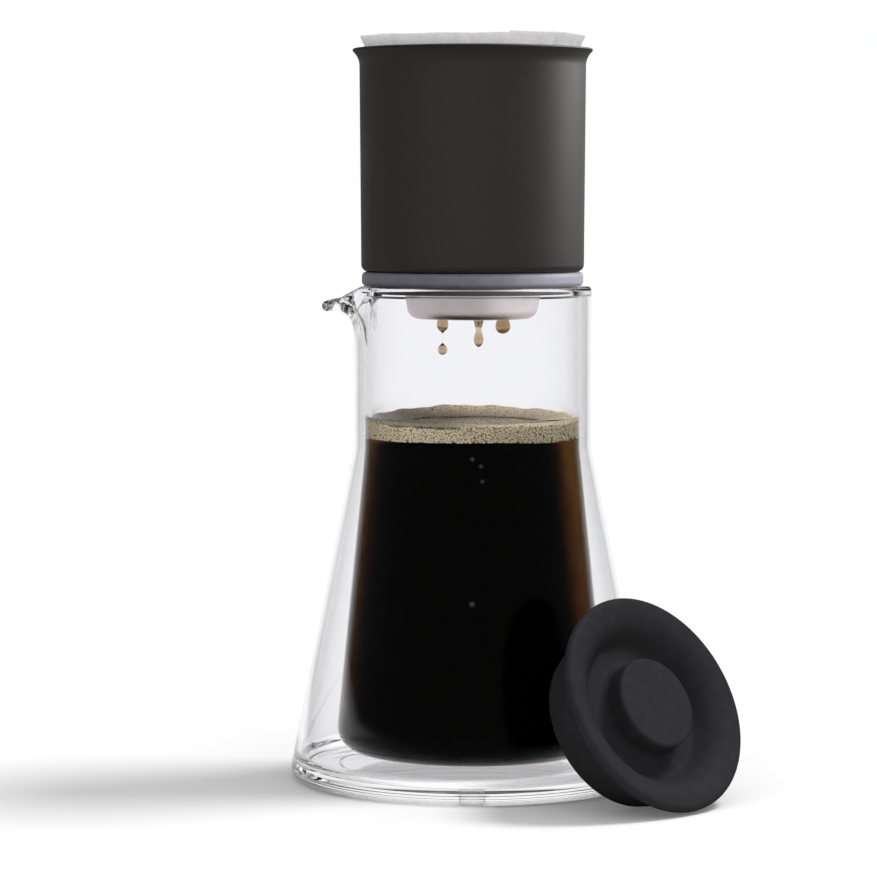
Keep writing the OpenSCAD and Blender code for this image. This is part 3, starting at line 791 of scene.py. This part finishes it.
# The edge of the paper is cut a little uneven, and its overlap makes a step at the front
overlap = np.radians(-72)
past = (turn - overlap) % (2 * np.pi)
edge_cut = 0.5 * past / (2 * np.pi) + 0.12 * np.sin(3 * turn + 1) + 0.1 * np.sin(11 * turn)
edge_cut = edge_cut - edge_cut.min()

# The sheet's underside from the middle of the floor to the edge, and its upper side back down
paper_rows = []
heights = np.concatenate([filter_rows[:3, 0], np.linspace(filter_rows[2, 0], filter_top, 34)[1:]])
for thick in (0.0, paper_t):
    sheet = [np.stack([0 * turn, 0 * turn, 0 * turn + filter_z + thick], -1)]
    for z in heights:
        crest = np.interp(z, filter_rows[:, 0], filter_rows[:, 1])
        deep = pleat_depth * np.interp(z, filter_rows[:, 0], filter_rows[:, 2])
        crumple = 0.12 * np.sin(7 * turn + z / 5) * np.sin(z / 9 + 3 * turn) - 0.12
        up = (z - filter_z) / (filter_top - filter_z)
        r = crest - thick - deep * fold + crumple * up
        lift = thick * (1 - up) - edge_cut * up**12
        sheet.append(np.stack([r * np.cos(turn), r * np.sin(turn), z + lift], -1))
    paper_rows += sheet if thick == 0 else sheet[::-1]
paper = skin("filter_paper", np.array(paper_rows))
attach(paper, "filter")
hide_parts("paper_filter")

# Filter paper, crimped and unprinted: soft white, fibrous, and it lets some light through
filter_paper, tree = bare_material("filter_paper")
place = node(tree, "ShaderNodeTexCoord", {})
# Clumps of fibre, 1.2 mm wide
clumps = node(tree, "ShaderNodeTexNoise", {
    "Vector": (place, "Object"), "Scale": 1 / 0.0012, "Detail": 5.0, "Roughness": 0.7})
fibrous = node(tree, "ShaderNodeBump", {"Height": (clumps, "Fac"), "Strength": 0.35, "Distance": 0.0002})
tone = node(tree, "ShaderNodeValToRGB", {"Fac": (clumps, "Fac")})
tone.color_ramp.elements[0].color = linear("#d9d9da")
tone.color_ramp.elements[0].position = 0.25
tone.color_ramp.elements[1].color = linear("#eaeaea")
tone.color_ramp.elements[1].position = 0.75
pulp = node(tree, "ShaderNodeBsdfPrincipled", {
    "Base Color": (tone, "Color"), "Roughness": 0.9, "Specular IOR Level": 0.2, "Subsurface Weight": 0.6,
    "Subsurface Radius": (1, 1, 1), "Subsurface Scale": 0.001, "Normal": (fibrous, "Normal")})
node(tree, "ShaderNodeOutputMaterial", {"Surface": (pulp, "BSDF")})
dress(paper, filter_paper)


# Lid
# One moulding of dark silicone: a tapered plug for the neck, a flange that lies on the rim, and a dish that
# sinks in a smooth sweep to the grip in its middle. It stands on the table and leans on the carafe.
lid_plug_r = 34.0
lid_end_r = 28.3
lid_plug_h = 22.0
lid_flange_r = 37.1
lid_flange_t = 4.0
grip_r = 15.5
dish_r = 28.0
dish_h = 9.0
lid_wall = 3.0
lid_edge = 1.8
plug_edge = 1.5
grip_edge = 1.2
dish_round = 3.0
lid_in_r = lid_flange_r - lid_edge
hollow_r = grip_r - lid_wall
plug_angle = math.degrees(math.atan((lid_plug_r - lid_end_r) / (lid_plug_h - lid_flange_t)))
# Where it leans: how far from upright, toward which side, and where the middle of its grip is
lid_lean = 28
lid_azimuth = -46
lid_at = Vector((59.5193, -61.6340, 34.7872))
lid = skin("lid_silicone", turned(finer(np.vstack([
    [(0, 0)],
    arc((grip_r - grip_edge, -grip_edge), grip_edge, 90, 0, 8),
    arc((grip_r + dish_round, -dish_h + dish_round), dish_round, 180, 270, 10),
    sweep((grip_r + 2 * dish_round, -dish_h), (dish_r - dish_round, -dish_h),
          (dish_r - dish_round, -lid_edge / 2), (lid_in_r, 0), 28),
    arc((lid_in_r, -lid_edge), lid_edge, 90, 0, 8),
    arc((lid_in_r, -lid_flange_t + lid_edge), lid_edge, 0, -90, 8),
    [(lid_plug_r, -lid_flange_t)],
    arc((lid_end_r - plug_edge, -lid_plug_h + plug_edge), plug_edge, -plug_angle, -90, 8),
    [(hollow_r, -lid_plug_h), (hollow_r, -lid_wall), (0, -lid_wall)],
]), 5)))
lid.data.transform(
    Matrix.Translation(lid_at / 1000)
    @ Matrix.Rotation(math.radians(lid_azimuth), 4, "Z")
    @ Matrix.Rotation(math.radians(90 - lid_lean), 4, "Y"))
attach(lid, "lid")
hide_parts("lid")

# Silicone, black filled and moulded in an etched tool: matte charcoal that catches a little dust
dark_silicone, tree = bare_material("dark_silicone")
place = node(tree, "ShaderNodeTexCoord", {})
# Etch of the tool is about 0.1 mm; drawn 0.6 mm wide so that it shows
etch = node(tree, "ShaderNodeTexNoise", {"Vector": (place, "Object"), "Scale": 1 / 0.0006, "Detail": 3.0})
moulded = node(tree, "ShaderNodeBump", {"Height": (etch, "Fac"), "Strength": 0.2, "Distance": 0.00005})
# Dust in spots about 4 mm wide
dust = node(tree, "ShaderNodeTexNoise", {"Vector": (place, "Object"), "Scale": 1 / 0.004, "Detail": 5.0})
dusty = node(tree, "ShaderNodeValToRGB", {"Fac": (dust, "Fac")})
dusty.color_ramp.elements[0].color = linear("#282729")
dusty.color_ramp.elements[0].position = 0.35
dusty.color_ramp.elements[1].color = linear("#2d2c2e")
dusty.color_ramp.elements[1].position = 0.75
rubber = node(tree, "ShaderNodeBsdfPrincipled", {
    "Base Color": (dusty, "Color"), "Roughness": 0.7, "IOR": 1.41, "Specular IOR Level": 0.08,
    "Normal": (moulded, "Normal")})
node(tree, "ShaderNodeOutputMaterial", {"Surface": (rubber, "BSDF")})
dress(lid, dark_silicone)


# Studio
# A white table in a white sweep that is dark above the horizon, so that the walls of the glass show their
# edges. A key stands high at the right and a little behind, a broad fill is in front, and three small lamps
# help the dripper's edge, the foam and the neck.
table_half = 8.0
table_z = -0.0001
corners = [(x * table_half, y * table_half, table_z) for x, y in ((-1, -1), (1, -1), (1, 1), (-1, 1))]
table = bpy.data.meshes.new("table")
table.from_pydata(corners, [], [(0, 1, 2, 3)])
floor = bpy.data.objects.new("table", table)
bpy.context.scene.collection.objects.link(floor)


def thrown_aside(tree, ray, way):
    """How dark the room is, 0 to 1, for a ray that glass threw to the side or to the front."""
    thrown = node(tree, "ShaderNodeMath", {0: (ray, "Glossy Depth"), 1: 0.5}, operation="GREATER_THAN")
    sharp = node(tree, "ShaderNodeMath", {
        0: (thrown, "Value"), 1: (ray, "Is Singular Ray")}, operation="MULTIPLY")
    near = node(tree, "ShaderNodeMath", {0: (ray, "Transmission Depth"), 1: 4.5}, operation="LESS_THAN")
    both = node(tree, "ShaderNodeMath", {0: (sharp, "Value"), 1: (near, "Value")}, operation="MULTIPLY")
    flat = node(tree, "ShaderNodeVectorMath", {0: way, 1: (1, 1, 0)}, operation="MULTIPLY")
    bearing = node(tree, "ShaderNodeVectorMath", {0: (flat, "Vector")}, operation="NORMALIZE")
    ahead = node(tree, "ShaderNodeSeparateXYZ", {"Vector": (bearing, "Vector")})
    aside = node(tree, "ShaderNodeMapRange", {
        "Value": (ahead, "Y"), "From Min": 0.7, "From Max": 0.95, "To Min": 1.0, "To Max": 0.0})
    return node(tree, "ShaderNodeMath", {0: (both, "Value"), 1: (aside, "Result")}, operation="MULTIPLY")


# White laminate: lit by the lamps, and lifted a little toward white for the eye. Left, right and in front of
# the set the room is dark, so that glass throws little of it back.
white_table, tree = bare_material("white_table")
ray = node(tree, "ShaderNodeLightPath", {})
little = node(tree, "ShaderNodeMath", {0: (ray, "Is Camera Ray"), 1: 0.1}, operation="MULTIPLY")
# Under the carafe a painted pool of light, seen only through the glass, stands for the light the glass
# gathers on the table
spot = node(tree, "ShaderNodeNewGeometry", {})
reach = node(tree, "ShaderNodeVectorMath", {0: (spot, "Position")}, operation="LENGTH")
painted_pool_of_light = node(tree, "ShaderNodeMapRange", {
    "Value": (reach, "Value"), "From Min": 0.05, "From Max": 0.09, "To Min": 0.6, "To Max": 0.0})
through = node(tree, "ShaderNodeMath", {
    0: (ray, "Is Transmission Ray"), 1: (painted_pool_of_light, "Result")}, operation="MULTIPLY")
lifted = node(tree, "ShaderNodeMath", {0: (little, "Value"), 1: (through, "Value")}, operation="MAXIMUM")
matte = node(tree, "ShaderNodeBsdfDiffuse", {"Color": linear("#e2e2e2")})
lift = node(tree, "ShaderNodeEmission", {"Color": (1, 1, 1, 1), "Strength": (lifted, "Value")})
both = node(tree, "ShaderNodeAddShader", {0: (matte, "BSDF"), 1: (lift, "Emission")})
far = node(tree, "ShaderNodeMapRange", {"Value": (reach, "Value"), "From Min": 0.3, "From Max": 0.6})
aside = thrown_aside(tree, ray, (spot, "Position"))
dim = node(tree, "ShaderNodeMath", {0: (aside, "Value"), 1: (far, "Result")}, operation="MULTIPLY")
# Coat and rubber mirror only a part of it
rough = node(tree, "ShaderNodeMath", {
    0: (ray, "Is Glossy Ray"), 1: (ray, "Is Singular Ray")}, operation="SUBTRACT")
part = node(tree, "ShaderNodeMath", {0: (rough, "Value"), 1: 0.8}, operation="MULTIPLY")
unseen = node(tree, "ShaderNodeMath", {0: (dim, "Value"), 1: (part, "Value")}, operation="MAXIMUM")
dark = node(tree, "ShaderNodeEmission", {"Color": (1, 1, 1, 1), "Strength": 0.04})
shown = node(tree, "ShaderNodeMixShader", {0: (unseen, "Value"), 1: (both, "Shader"), 2: (dark, "Emission")})
node(tree, "ShaderNodeOutputMaterial", {"Surface": (shown, "Shader")})
floor.data.materials.append(white_table)

world = bpy.data.worlds.new("studio")
world.use_nodes = True
bpy.context.scene.world = world
tree = world.node_tree
tree.nodes.clear()
ray = node(tree, "ShaderNodeLightPath", {})
place = node(tree, "ShaderNodeTexCoord", {})
aim = node(tree, "ShaderNodeSeparateXYZ", {"Vector": (place, "Generated")})
# What gloss mirrors: white at the horizon, dark over it, and a soft light overhead
sweep_up = node(tree, "ShaderNodeMapRange", {
    "Value": (aim, "Z"), "From Min": 0.0, "From Max": 0.06, "To Min": 1.0, "To Max": 0.02})
overhead = node(tree, "ShaderNodeMapRange", {
    "Value": (aim, "Z"), "From Min": 0.45, "From Max": 0.7, "To Min": 0.0, "To Max": 0.5})
mirrored = node(tree, "ShaderNodeMath", {0: (sweep_up, "Result"), 1: (overhead, "Result")}, operation="ADD")
# What shows through glass: white behind the set, pale grey above it
beyond = node(tree, "ShaderNodeMapRange", {
    "Value": (aim, "Z"), "From Min": 0.1, "From Max": 0.5, "To Min": 1.0, "To Max": 0.6})
# What lights the set: brighter from the right than from the left
side = node(tree, "ShaderNodeMapRange", {
    "Value": (aim, "X"), "From Min": -0.8, "From Max": 0.9, "To Min": 0.25, "To Max": 0.6})
gloss = node(tree, "ShaderNodeMix", {0: (ray, "Is Glossy Ray"), 2: (side, "Result"), 3: (mirrored, "Value")})
light = node(tree, "ShaderNodeMix", {
    0: (ray, "Is Transmission Ray"), 2: (gloss, "Result"), 3: (beyond, "Result")})
aside = thrown_aside(tree, ray, (place, "Generated"))
dimmed = node(tree, "ShaderNodeMix", {0: (aside, "Value"), 2: (light, "Result"), 3: 0.04})
level = node(tree, "ShaderNodeMix", {0: (ray, "Is Camera Ray"), 2: (dimmed, "Result"), 3: 1.0})
sky = node(tree, "ShaderNodeBackground", {"Color": (1, 1, 1, 1), "Strength": (level, "Result")})
node(tree, "ShaderNodeOutputWorld", {"Surface": (sky, "Background")})

# Black cards keep the mirror images of key and fill off the glass. The edge lamp is flagged off all but the
# dripper, the card in front off all but the foam, and the one at the side off all but the cup and the gasket.
groups = {
    "carded": (carafe,),
    "dripper_only": (outer_shell, inner_shell, gasket),
    "foam_only": (foam,),
    "neck_only": (inner_shell, gasket),
}
for name, pieces in groups.items():
    groups[name] = bpy.data.collections.new(name)
    for piece in pieces:
        groups[name].objects.link(piece)
# Kind, strength, angle or width, place, aim and group of each lamp
for name, kind, strength, spread, place, target, group in (
    ("key", "SUN", 2.1, math.radians(18), (0.5, 0.12, 0.86), (0, 0, 0), "carded"),
    ("fill", "SUN", 1.1, math.radians(110), (-0.1, -0.6, 0.75), (0, 0, 0), "carded"),
    ("edge", "AREA", 2.1, 0.3, (0.36, 0.14, 0.4), (0, 0, 0.23), "dripper_only"),
    ("card", "AREA", 0.7, 0.2, (-0.3, -0.4, 0.18), (0, 0, 0.12), "foam_only"),
    ("side", "AREA", 1.5, 0.3, (0.36, -0.1, 0.17), (0, 0, 0.16), "neck_only"),
):
    lamp = bpy.data.lights.new(name, kind)
    lamp.energy = strength
    if kind == "SUN":
        lamp.angle = spread
    else:
        lamp.size = spread
    holder = bpy.data.objects.new(name, lamp)
    holder.location = place
    holder.rotation_euler = (Vector(place) - Vector(target)).to_track_quat("Z", "Y").to_euler()
    bpy.context.scene.collection.objects.link(holder)
    holder.light_linking.receiver_collection = groups[group]
groups["carded"].collection_objects[0].light_linking.link_state = "EXCLUDE"

# The camera stands 1.12 m in front, at about the height of the dripper, and looks slightly down
sensor_mm = 36.0
focal_px = 3300
picture_px = 877
look_down = 4.2
lens = bpy.data.cameras.new("camera")
lens.sensor_width = sensor_mm
lens.lens = sensor_mm * focal_px / picture_px
camera = bpy.data.objects.new("camera", lens)
camera.location = (-0.01156, -1.122, 0.1983)
camera.rotation_euler = (math.radians(90 - look_down), 0, 0)
bpy.context.scene.collection.objects.link(camera)
bpy.context.scene.camera = camera

bpy.context.scene.view_settings.view_transform = "Standard"
